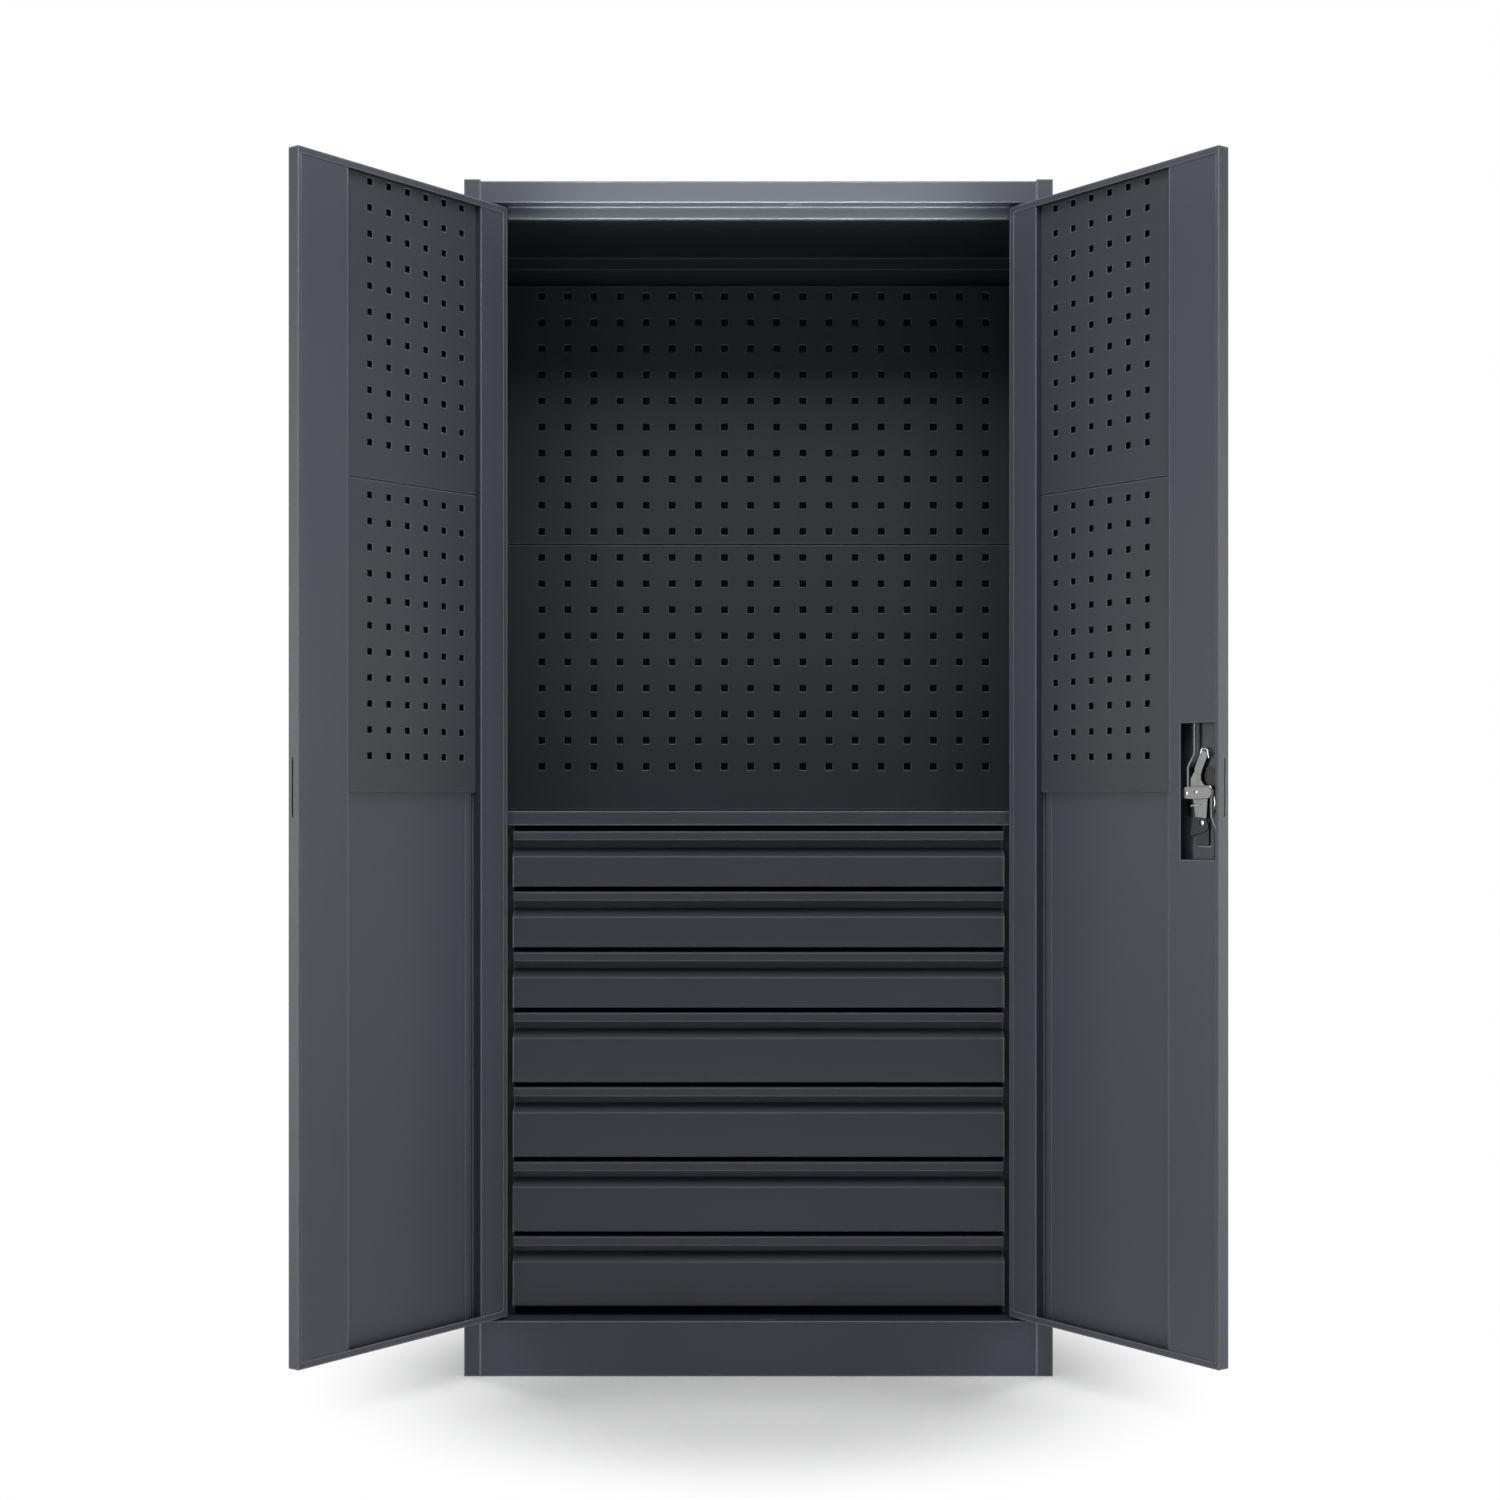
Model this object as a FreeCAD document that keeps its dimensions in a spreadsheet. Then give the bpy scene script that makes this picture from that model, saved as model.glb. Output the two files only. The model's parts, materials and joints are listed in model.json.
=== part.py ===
import FreeCAD, Part
import os
import re
import Sketcher

# Tall steel tool cabinet with two hinged doors, perforated tool panels and seven drawers.
# Millimetres. The origin is on the floor, at the middle of the front face.
# The front faces -Y. The doors stand open and the drawers are pushed in.

# Driving sizes
SIZES = {
    # carcass
    "width": 910, "height": 1850, "depth": 500, "sheet": 1.0,
    "post_face": 25, "post_depth": 30, "post_lip": 12, "back_flange": 22, "post_rise": 3,
    "fascia": 33, "stop_setback": 26, "stop_lip": 19, "hem": 12,
    "plinth": 85, "plinth_return": 25,
    "anchor_hole": 8, "anchor_inset": 105, "anchor_low": 140, "anchor_drop": 147,
    # back-panel screws
    "screw_shank": 4, "screw_head": 8, "screw_head_height": 2, "screw_tail": 3, "screw_play": 0.2,
    "screw_inset": 150,
    # perforated back panels
    "back_standoff": 20, "back_pitch": 45.8, "back_hole": 12, "back_grid_shift": 9,
    "back_side_margin": 60, "back_head_margin": 15, "back_foot_margin": 60,
    "back_seam_drop": 508, "back_gap": 2, "back_upper_height": 452, "back_foot_gap": 1, "back_side_play": 2,
    # doors
    "hinge_gap": 2, "centre_gap": 3, "door_gap": 4, "door_thick": 20, "door_open_angle": 127,
    "pin_inset": 18, "pin_setback": 8, "hinge_lip": 10, "free_lip": 6, "end_lip": 10,
    "hinge_stile": 58, "free_stile": 95, "stile_foot": 18,
    "peg_recess": 10, "peg_pitch": 38, "peg_hole": 10, "peg_head_gap": 6, "peg_gap": 1.5,
    "peg_upper_height": 445, "peg_lower_height": 455.5, "peg_near_gap": 0.5, "peg_far_gap": 0.5,
    "peg_first_column": 31.5, "peg_far_margin": 41, "peg_first_row": 53, "peg_head_margin": 10,
    # hinge pins and bushes
    "pin_size": 6, "pin_head": 14, "pin_head_height": 2, "pin_reach": 12, "pin_play": 0.06,
    "bush_size": 10, "bush_collar": 14, "bush_length": 11, "bush_play": 0.05, "bush_lift": 0.3,
    # drawers
    "drawer_setback": 35, "front_inset": 46, "small_front": 87, "large_front": 109,
    "front_gap": 7.5, "front_clear": 15, "front_lip": 14, "groove_depth": 22,
    "bevel_top": 26, "bevel_foot": 40, "box_wall": 0.8, "box_rear_gap": 15, "box_rise": 8,
    "box_drop": 8, "box_hem": 8,
    "unit_gap": 9, "unit_lip": 22, "cheek_gap": 2, "cheek_rear_gap": 6,
    # drawer slides
    "slide_space": 13, "slide_height": 45, "slide_wall": 1.2, "slide_play": 0.4,
    "slide_start": 2, "slide_end": 3,
    # lock
    "lock_inset": 44.5, "lock_height": 900, "key_drop": 42, "window_near": 28, "window_far": 38,
    "window_drop": 95, "window_rise": 100,
    "plate_width": 30, "plate_height": 104, "plate_thick": 4, "plate_rise": 30,
    "housing_width": 24, "housing_height": 88, "housing_inside": 3, "housing_play": 0.3,
    "spindle": 12, "spindle_play": 0.06, "stub": 8, "stub_reach": 3,
    "wing_length": 84, "wing_width": 18, "wing_thick": 10, "wing_stand": 14, "hub": 20,
    "barrel": 18, "barrel_collar": 22, "barrel_proud": 2, "key_slot": 2, "key_slot_length": 9,
    "key_arm": 9, "key_arm_length": 22, "key_arm_thick": 1.5, "turn_gap": 0.3,
    "cam_gap": 1.2, "cam_thick": 2, "cam_arm": 22, "cam_width": 14, "tongue_length": 64,
    "tongue_width": 11, "tongue_angle": 20, "latch_drop": 34, "latch_rise": 50,
    "rivet": 5, "rivet_head": 9, "rivet_head_height": 1.5,
    "rod_width": 7, "rod_thick": 2.5, "rod_eye": 12, "rod_jog": 12, "rod_jog_low": 9,
    "rod_jog_start": 34, "rod_jog_rise": 14, "rod_proud": 1, "rod_slot_play": 7, "rod_side_play": 0.4,
}

# Counts
SMALL_DRAWERS = 3
LARGE_DRAWERS = 4
SCREW_ROWS = 4
DRAWERS = SMALL_DRAWERS + LARGE_DRAWERS

# Derived places, as expressions of the driving sizes
FRONT = "0"
BACK = "depth"
BACK_FACE = "(depth - 2*sheet)"
INNER = "(width/2 - sheet)"
OPENING = "(width/2 - post_face)"
ROOF = "(height - post_rise)"
FASCIA_FOOT = f"({ROOF} - fascia)"
STOP = f"({FRONT} + stop_setback)"
DOOR_FOOT = "(plinth + door_gap)"
DOOR_HEAD = f"({FASCIA_FOOT} - door_gap)"
DOOR_WIDTH = f"({OPENING} - hinge_gap - centre_gap/2)"
PIN_X = f"({OPENING} - hinge_gap - pin_inset)"
PIN_Y = f"({FRONT} + pin_setback)"
SKIN_FACE = "(-pin_setback)"
SKIN_INSIDE = "(sheet - pin_setback)"
DOOR_INSIDE = "(door_thick - pin_setback)"
STILE_FACE = f"({DOOR_INSIDE} - sheet)"
FREE_STILE = f"({DOOR_WIDTH} - free_stile)"
PEG_FACE = f"({STILE_FACE} - peg_recess)"
PEG_NEAR = "(hinge_stile + peg_near_gap)"
PEG_FAR = f"({FREE_STILE} - peg_far_gap)"
PEG_COLUMNS = f"(floor(({PEG_FAR} - {PEG_NEAR} - peg_first_column - peg_far_margin)/peg_pitch) + 1)"
CHEEK = f"({OPENING} - front_inset)"
BOX_HALF = f"({CHEEK} - slide_space)"
DRAWER_FACE = f"({FRONT} + drawer_setback)"
BOX_FRONT = f"({DRAWER_FACE} + groove_depth + sheet)"
BOX_BACK = f"({BACK_FACE} - box_rear_gap)"
STACK_FOOT = "(plinth + front_clear)"
STACK_HEAD = (f"({STACK_FOOT} + {LARGE_DRAWERS}*large_front + {SMALL_DRAWERS}*small_front"
              f" + {DRAWERS - 1}*front_gap)")
UNIT_FOOT = f"({STACK_HEAD} + unit_gap)"
UNIT_TOP = f"({UNIT_FOOT} + unit_lip)"
BACK_SEAM = f"({ROOF} - back_seam_drop)"
LOCK_ALONG = f"({DOOR_WIDTH} - lock_inset)"
HOUSING_FACE = f"({SKIN_INSIDE} + housing_inside)"
KEY_ARM_BACK = f"({HOUSING_FACE} + turn_gap)"
CAM_BACK = f"({KEY_ARM_BACK} + key_arm_thick + cam_gap)"
CAM_FACE = f"({CAM_BACK} + cam_thick)"
ROD_BACK = f"({CAM_FACE} + turn_gap)"
ROD_FACE = f"({ROD_BACK} + rod_thick)"
UPPER_PIN = f"({LOCK_ALONG} - cam_arm)"
LOWER_PIN = f"({LOCK_ALONG} + cam_arm)"
UPPER_ROD = f"({UPPER_PIN} + rod_jog)"
LOWER_ROD = f"({LOWER_PIN} + rod_jog_low)"
KEY_HEIGHT = "(lock_height - key_drop)"
HOUSING_HEAD = "(lock_height + housing_width/2)"
HOUSING_FOOT = f"({HOUSING_HEAD} - housing_height)"
PLATE_FACE = f"({SKIN_FACE} - plate_thick)"
WING_BACK = f"({PLATE_FACE} - turn_gap - wing_stand)"

LEFT_DOOR = "1"
RIGHT_DOOR = "-1"
INWARD = "-1"
OUTWARD = "1"

doc = FreeCAD.newDocument("ToolCabinet")
sizes = doc.addObject("Spreadsheet::Sheet", "Sizes")
for row, (alias, size) in enumerate(SIZES.items(), 1):
    sizes.set(f"A{row}", alias)
    sizes.set(f"B{row}", str(size))
    sizes.setAlias(f"B{row}", alias)
doc.recompute()

nodes = []


# Expressions and bindings
def cells(expression):
    """The expression with each size name turned into its cell."""
    return re.sub(r"[a-z_]+", lambda m: f"Sizes.{m[0]}" if m[0] in SIZES else m[0], expression)


def bind(thing, prop, expression):
    thing.setExpression(prop, cells(expression))


def number(expression):
    return float(sizes.evalExpression(cells(expression)))


# Sketches: a loop is a list of points, or a circle as ("circle", x, y, diameter)
def rectangle(x0, y0, x1, y1):
    return [(x0, y0), (x1, y0), (x1, y1), (x0, y1)]


def draw_polygon(sketch, points):
    first = sketch.GeometryCount
    count = len(points)
    corners = [FreeCAD.Vector(number(x), number(y), 0) for x, y in points]
    for i in range(count):
        sketch.addGeometry(Part.LineSegment(corners[i], corners[(i + 1) % count]), False)
    for i in range(count):
        sketch.addConstraint(Sketcher.Constraint("Coincident", first + i, 2, first + (i + 1) % count, 1))
    for i, point in enumerate(points):
        for kind, place, expression in zip(("DistanceX", "DistanceY"), corners[i], point):
            index = sketch.addConstraint(Sketcher.Constraint(kind, -1, 1, first + i, 1, place))
            bind(sketch, f"Constraints[{index}]", expression)


def draw_circle(sketch, x, y, diameter):
    centre = FreeCAD.Vector(number(x), number(y), 0)
    geometry = sketch.addGeometry(Part.Circle(centre, FreeCAD.Vector(0, 0, 1), number(diameter) / 2), False)
    for kind, place, expression in (("DistanceX", centre.x, x), ("DistanceY", centre.y, y)):
        index = sketch.addConstraint(Sketcher.Constraint(kind, -1, 1, geometry, 3, place))
        bind(sketch, f"Constraints[{index}]", expression)
    index = sketch.addConstraint(Sketcher.Constraint("Diameter", geometry, number(diameter)))
    bind(sketch, f"Constraints[{index}]", diameter)


def extrude(body, kind, plane, low, high, loops):
    """Add (Pad) or cut (Pocket) the loops on an origin plane, from low to high along its axis."""
    sketch = body.newObject("Sketcher::SketchObject", f"{body.Name}_sketch")
    origin_plane = [f for f in body.Origin.OriginFeatures if f.Role == f"{plane}_Plane"][0]
    sketch.AttachmentSupport = [(origin_plane, "")]
    sketch.MapMode = "FlatFace"
    bind(sketch, "AttachmentOffset.Base.z", f"-({low})" if plane == "XZ" else low)
    for loop in loops:
        if loop[0] == "circle":
            draw_circle(sketch, *loop[1:])
        else:
            draw_polygon(sketch, loop)
    feature = body.newObject(f"PartDesign::{kind}", f"{body.Name}_{kind}")
    feature.Profile = sketch
    bind(feature, "Length", f"({high}) - ({low})")
    feature.Reversed = (plane == "XZ") == (kind == "Pad")
    body.Tip = feature
    return feature


def new_body(label):
    body = doc.addObject("PartDesign::Body", label)
    body.Label = label
    return body


def node(thing):
    nodes.append(thing)
    return thing


def hole_grid(body, plane, low, high, hole, pitch, columns, rows):
    """Repeat one square hole along the sketch's two axes."""
    pocket = extrude(body, "Pocket", plane, low, high, [hole])
    grid = body.newObject("PartDesign::MultiTransform", f"{body.Name}_grid")
    grid.Originals = [pocket]
    steps = []
    for axis, copies in (("H_Axis", columns), ("V_Axis", rows)):
        step = body.newObject("PartDesign::LinearPattern", f"{body.Name}_{axis}")
        step.Direction = (pocket.Profile[0], [axis])
        step.Mode = "Spacing"
        bind(step, "Offset", pitch)
        bind(step, "Occurrences", copies)
        steps.append(step)
    grid.Transformations = steps
    body.Tip = grid


def gather(label, pieces):
    group = doc.addObject("Part::Compound", label)
    group.Label = label
    group.Links = pieces
    return node(group)


def cylinder(name, diameter, low, high, x, y):
    """A cylinder standing along Z."""
    piece = doc.addObject("Part::Cylinder", name)
    bind(piece, "Radius", f"({diameter})/2")
    bind(piece, "Height", f"({high}) - ({low})")
    for axis, place in (("x", x), ("y", y), ("z", low)):
        bind(piece, f"Placement.Base.{axis}", place)
    return piece


def join(label, pieces):
    joined = doc.addObject("Part::MultiFuse", label)
    joined.Label = label
    joined.Shapes = pieces
    joined.Refine = True
    return joined


# Carcass
def screw_places():
    return [f"(screw_inset + {i}*({ROOF} - 2*screw_inset)/{SCREW_ROWS - 1})" for i in range(SCREW_ROWS)]


def side_panel(label, side):
    """One folded sheet: outer wall, front post and back flange, with the back-panel screw holes."""
    body = new_body(label)
    section = [
        ("width/2", FRONT), (OPENING, FRONT), (OPENING, f"{FRONT} + post_depth"),
        (f"{OPENING} + post_lip", f"{FRONT} + post_depth"),
        (f"{OPENING} + post_lip", f"{FRONT} + post_depth - sheet"),
        (f"{OPENING} + sheet", f"{FRONT} + post_depth - sheet"), (f"{OPENING} + sheet", f"{FRONT} + sheet"),
        (INNER, f"{FRONT} + sheet"), (INNER, f"{BACK} - sheet"),
        ("width/2 - back_flange", f"{BACK} - sheet"), ("width/2 - back_flange", BACK), ("width/2", BACK),
    ]
    extrude(body, "Pad", "XY", "0", "height", [[(f"{side}*({x})", y) for x, y in section]])
    holes = [("circle", f"{side}*(width/2 - back_flange/2)", z, "screw_shank + screw_play")
             for z in screw_places()]
    extrude(body, "Pocket", "XZ", f"{BACK} - sheet", BACK, holes)
    return node(body)


def post_notches(body, low, high):
    """Clear the two front posts out of a sheet that spans from wall to wall."""
    for side in ("-1", "1"):
        corner = rectangle(f"{side}*{OPENING}", FRONT, f"{side}*{INNER}", f"{FRONT} + post_depth")
        extrude(body, "Pocket", "XY", low, high, [corner])


def pin_holes(body, low, high):
    holes = [("circle", f"{side}*{PIN_X}", PIN_Y, "pin_size + 2*pin_play") for side in ("-1", "1")]
    extrude(body, "Pocket", "XY", low, high, holes)


def keeper_slot(body, low, high, rod):
    """The slot that takes a lock rod's end when the right door is shut."""
    centre = f"({PIN_X} + pin_inset - {rod})"
    half = "(rod_width/2 + rod_slot_play)"
    slot = rectangle(f"{centre} - {half}", f"{PIN_Y} + {ROD_BACK} - rod_side_play",
                     f"{centre} + {half}", f"{PIN_Y} + {ROD_FACE} + rod_side_play")
    extrude(body, "Pocket", "XY", low, high, [slot])


def top_panel():
    """Roof, fascia, return and hemmed door-stop lip in one folded sheet."""
    body = new_body("top_panel")
    foot = f"({FASCIA_FOOT} - stop_lip)"
    section = [
        (FRONT, ROOF), (BACK_FACE, ROOF), (BACK_FACE, f"{ROOF} - back_flange"),
        (f"{BACK_FACE} - sheet", f"{ROOF} - back_flange"), (f"{BACK_FACE} - sheet", f"{ROOF} - sheet"),
        (f"{FRONT} + sheet", f"{ROOF} - sheet"), (f"{FRONT} + sheet", f"{FASCIA_FOOT} + sheet"),
        (f"{STOP} + sheet", f"{FASCIA_FOOT} + sheet"), (f"{STOP} + sheet", f"{foot} + sheet"),
        (f"{STOP} + hem", f"{foot} + sheet"), (f"{STOP} + hem", foot), (STOP, foot),
        (STOP, FASCIA_FOOT), (FRONT, FASCIA_FOOT),
    ]
    extrude(body, "Pad", "YZ", f"-{INNER}", INNER, [section])
    post_notches(body, foot, ROOF)
    for side in ("-1", "1"):
        swing = rectangle(f"{side}*{OPENING}", STOP, f"{side}*({PIN_X} - door_thick)", f"{STOP} + hem")
        extrude(body, "Pocket", "XY", foot, FASCIA_FOOT, [swing])
    pin_holes(body, FASCIA_FOOT, f"{FASCIA_FOOT} + sheet")
    keeper_slot(body, FASCIA_FOOT, f"{FASCIA_FOOT} + sheet", UPPER_ROD)
    return node(body)


def bottom_panel():
    """Cabinet floor and plinth in one folded sheet."""
    body = new_body("bottom_panel")
    section = [
        (FRONT, "0"), (f"{FRONT} + plinth_return", "0"), (f"{FRONT} + plinth_return", "sheet"),
        (f"{FRONT} + sheet", "sheet"), (f"{FRONT} + sheet", "plinth - sheet"),
        (f"{BACK_FACE} - sheet", "plinth - sheet"), (f"{BACK_FACE} - sheet", "plinth - back_flange"),
        (BACK_FACE, "plinth - back_flange"), (BACK_FACE, "plinth"), (FRONT, "plinth"),
    ]
    extrude(body, "Pad", "YZ", f"-{INNER}", INNER, [section])
    post_notches(body, "0", "plinth")
    pin_holes(body, "plinth - sheet", "plinth")
    keeper_slot(body, "plinth - sheet", "plinth", LOWER_ROD)
    return node(body)


def back_panel():
    body = new_body("back_panel")
    extrude(body, "Pad", "XZ", BACK_FACE, f"{BACK} - sheet", [rectangle(f"-{INNER}", "0", INNER, ROOF)])
    holes = [("circle", f"{side}*(width/2 - anchor_inset)", z, "anchor_hole")
             for side in ("-1", "1") for z in ("anchor_low", f"{ROOF} - anchor_drop")]
    holes += [("circle", f"{side}*(width/2 - back_flange/2)", z, "screw_shank + screw_play")
              for side in ("-1", "1") for z in screw_places()]
    extrude(body, "Pocket", "XZ", BACK_FACE, f"{BACK} - sheet", holes)
    return node(body)


def back_screws():
    """Pan-head screws through the side panels' back flanges into the back panel."""
    screws = []
    for side in ("-1", "1"):
        for z in screw_places():
            body = new_body(f"back_screw_{len(screws)}")
            x = f"{side}*(width/2 - back_flange/2)"
            extrude(body, "Pad", "XZ", BACK, f"{BACK} + screw_head_height", [("circle", x, z, "screw_head")])
            extrude(body, "Pad", "XZ", f"{BACK_FACE} - screw_tail", BACK, [("circle", x, z, "screw_shank")])
            screws.append(body)
    gather("back_screws", screws)


def back_pegboard(label, foot, head, first_row, rows):
    """Perforated tool panel on folded edges that stand on the back panel."""
    body = new_body(label)
    half = f"({INNER} - back_side_play)"
    columns = f"(floor(2*({half} - back_side_margin)/back_pitch) + 1)"
    face = f"({BACK_FACE} - back_standoff)"
    outside = rectangle(f"-{half}", foot, half, head)
    inside = rectangle(f"sheet - {half}", f"{foot} + sheet", f"{half} - sheet", f"{head} - sheet")
    extrude(body, "Pad", "XZ", face, f"{face} + sheet", [outside])
    extrude(body, "Pad", "XZ", f"{face} + sheet", BACK_FACE, [outside, inside])
    first_column = f"((1 - {columns})*back_pitch/2 + back_grid_shift)"
    hole = rectangle(f"{first_column} - back_hole/2", f"{first_row} - back_hole/2",
                     f"{first_column} + back_hole/2", f"{first_row} + back_hole/2")
    hole_grid(body, "XZ", face, f"{face} + sheet", hole, "back_pitch", columns, rows)
    return node(body)


def carcass():
    side_panel("left_side_panel", "-1")
    side_panel("right_side_panel", "1")
    top_panel()
    bottom_panel()
    back_panel()
    back_screws()
    head = f"({BACK_SEAM} + back_gap/2 + back_upper_height)"
    foot = f"({UNIT_TOP} + back_foot_gap)"
    upper_row = f"({BACK_SEAM} + back_pitch/2)"
    upper_rows = f"(floor(({head} - {upper_row} - back_head_margin)/back_pitch) + 1)"
    back_pegboard("back_pegboard_upper", f"{BACK_SEAM} + back_gap/2", head, upper_row, upper_rows)
    lower_rows = f"(floor(({BACK_SEAM} - back_pitch/2 - {foot} - back_foot_margin)/back_pitch) + 1)"
    lower_row = f"({upper_row} - {lower_rows}*back_pitch)"
    back_pegboard("back_pegboard_lower", foot, f"{BACK_SEAM} - back_gap/2", lower_row, lower_rows)


def hinge_pins():
    """A headed pin at the head and foot of each door's hinge edge."""
    pins = []
    for side in ("-1", "1"):
        x = f"{side}*{PIN_X}"
        top = f"({FASCIA_FOOT} + sheet)"
        foot = "(plinth - sheet)"
        spans = ((top, f"{top} + pin_head_height", f"{DOOR_HEAD} - pin_reach", top),
                 (f"{foot} - pin_head_height", foot, foot, f"{DOOR_FOOT} + pin_reach"))
        for head_low, head_high, low, high in spans:
            name = f"hinge_pin_{len(pins)}"
            head = cylinder(f"{name}_head", "pin_head", head_low, head_high, x, PIN_Y)
            shank = cylinder(f"{name}_shank", "pin_size", low, high, x, PIN_Y)
            pins.append(join(name, [head, shank]))
    gather("hinge_pins", pins)


# Doors: each door's pieces are drawn about its hinge axis, then swung open
def along(side, distance):
    """Place along a closed door, measured from its hinge edge."""
    return f"{side}*({distance} - pin_inset)"


def hang(piece, side):
    bind(piece, "Placement.Base.x", f"-{side}*{PIN_X}")
    bind(piece, "Placement.Base.y", PIN_Y)
    bind(piece, "Placement.Rotation.Angle", f"-{side}*door_open_angle")
    return piece


def door_rectangle(side, near, foot, far, head):
    return rectangle(along(side, near), foot, along(side, far), head)


def rod_slots(body, side):
    """Slots in the door's end flanges that guide the two lock rods."""
    flanges = ((UPPER_ROD, f"{DOOR_HEAD} - sheet", DOOR_HEAD), (LOWER_ROD, DOOR_FOOT, f"{DOOR_FOOT} + sheet"))
    for rod, low, high in flanges:
        half = "(rod_width/2 + rod_slot_play)"
        slot = rectangle(along(side, f"{rod} - {half}"), f"{ROD_BACK} - rod_side_play",
                         along(side, f"{rod} + {half}"), f"{ROD_FACE} + rod_side_play")
        extrude(body, "Pocket", "XY", low, high, [slot])


def door_skin(label, side):
    """Front skin with four folded edges, each returned as a lip on the inside."""
    body = new_body(label)
    outside = door_rectangle(side, "0", DOOR_FOOT, DOOR_WIDTH, DOOR_HEAD)
    hollow = door_rectangle(side, "sheet", f"{DOOR_FOOT} + sheet", f"{DOOR_WIDTH} - sheet",
                            f"{DOOR_HEAD} - sheet")
    window = door_rectangle(side, "hinge_lip", f"{DOOR_FOOT} + end_lip", f"{DOOR_WIDTH} - free_lip",
                            f"{DOOR_HEAD} - end_lip")
    extrude(body, "Pad", "XZ", SKIN_FACE, DOOR_INSIDE, [outside])
    extrude(body, "Pocket", "XZ", SKIN_INSIDE, DOOR_INSIDE, [hollow])
    extrude(body, "Pad", "XZ", f"{DOOR_INSIDE} - sheet", DOOR_INSIDE, [outside, window])
    extrude(body, "Pocket", "XY", DOOR_FOOT, DOOR_HEAD, [("circle", "0", "0", "bush_size + 2*bush_play")])
    edge = along(side, DOOR_WIDTH)
    inset = along(side, f"({DOOR_WIDTH} - sheet)")
    low, high = (inset, edge) if side == LEFT_DOOR else (edge, inset)
    latch = rectangle(f"{CAM_BACK} - rod_side_play", "lock_height - latch_drop",
                      f"{CAM_FACE} + rod_side_play", "lock_height + latch_rise")
    extrude(body, "Pocket", "YZ", low, high, [latch])
    if side == RIGHT_DOOR:
        rod_slots(body, side)
        half = "(housing_width/2 + housing_play)"
        cut = door_rectangle(side, f"{LOCK_ALONG} - {half}", f"{HOUSING_FOOT} - housing_play",
                             f"{LOCK_ALONG} + {half}", f"{HOUSING_HEAD} + housing_play")
        extrude(body, "Pocket", "XZ", SKIN_FACE, SKIN_INSIDE, [cut])
    return node(hang(body, side))


def stile(label, side, near, far, foot_near, foot_far, leg_near, leg_far):
    """Folded channel along a door: a raised face, one leg down to the skin and a foot on the skin."""
    body = new_body(label)
    face_back = f"({STILE_FACE} - sheet)"
    foot_face = f"({SKIN_INSIDE} + sheet)"
    low, high = f"{DOOR_FOOT} + sheet", f"{DOOR_HEAD} - sheet"
    extrude(body, "Pad", "XY", low, high,
            [rectangle(along(side, near), face_back, along(side, far), STILE_FACE)])
    extrude(body, "Pad", "XY", low, high,
            [rectangle(along(side, leg_near), SKIN_INSIDE, along(side, leg_far), face_back)])
    extrude(body, "Pad", "XY", low, high,
            [rectangle(along(side, foot_near), SKIN_INSIDE, along(side, foot_far), foot_face)])
    return body


def door_pegboard(label, side, foot, head):
    """Perforated panel between the stiles, standing on their feet by its folded side edges."""
    body = new_body(label)
    back = f"({PEG_FACE} - sheet)"
    edge_foot = f"({SKIN_INSIDE} + sheet)"
    extrude(body, "Pad", "XZ", back, PEG_FACE, [door_rectangle(side, PEG_NEAR, foot, PEG_FAR, head)])
    for edge_near, edge_far in ((PEG_NEAR, f"({PEG_NEAR} + sheet)"), (f"({PEG_FAR} - sheet)", PEG_FAR)):
        extrude(body, "Pad", "XZ", edge_foot, back, [door_rectangle(side, edge_near, foot, edge_far, head)])
    first = f"({PEG_NEAR} + peg_first_column)"
    if side == RIGHT_DOOR:
        first = f"({first} + ({PEG_COLUMNS} - 1)*peg_pitch)"
    row = f"({foot} + peg_first_row)"
    rows = f"(floor(({head} - {row} - peg_head_margin)/peg_pitch) + 1)"
    hole = door_rectangle(side, f"{first} - peg_hole/2", f"{row} - peg_hole/2",
                          f"{first} + peg_hole/2", f"{row} + peg_hole/2")
    hole_grid(body, "XZ", back, PEG_FACE, hole, "peg_pitch", PEG_COLUMNS, rows)
    return node(hang(body, side))


def hinge_bushes(label, side):
    """Collared bushes in the door's end flanges, turning on the hinge pins."""
    bore = "pin_size + 2*pin_play"
    collar = "(door_gap - bush_lift)"
    spans = ((DOOR_HEAD, f"{DOOR_HEAD} + {collar}", f"{DOOR_HEAD} - bush_length", DOOR_HEAD),
             (f"{DOOR_FOOT} - {collar}", DOOR_FOOT, DOOR_FOOT, f"{DOOR_FOOT} + bush_length"))
    bushes = []
    for collar_low, collar_high, low, high in spans:
        body = new_body(f"{label}_{len(bushes)}")
        extrude(body, "Pad", "XY", low, high, [("circle", "0", "0", "bush_size"), ("circle", "0", "0", bore)])
        extrude(body, "Pad", "XY", collar_low, collar_high,
                [("circle", "0", "0", "bush_collar"), ("circle", "0", "0", bore)])
        bushes.append(body)
    group = gather(label, bushes)
    hang(group, side)


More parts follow.
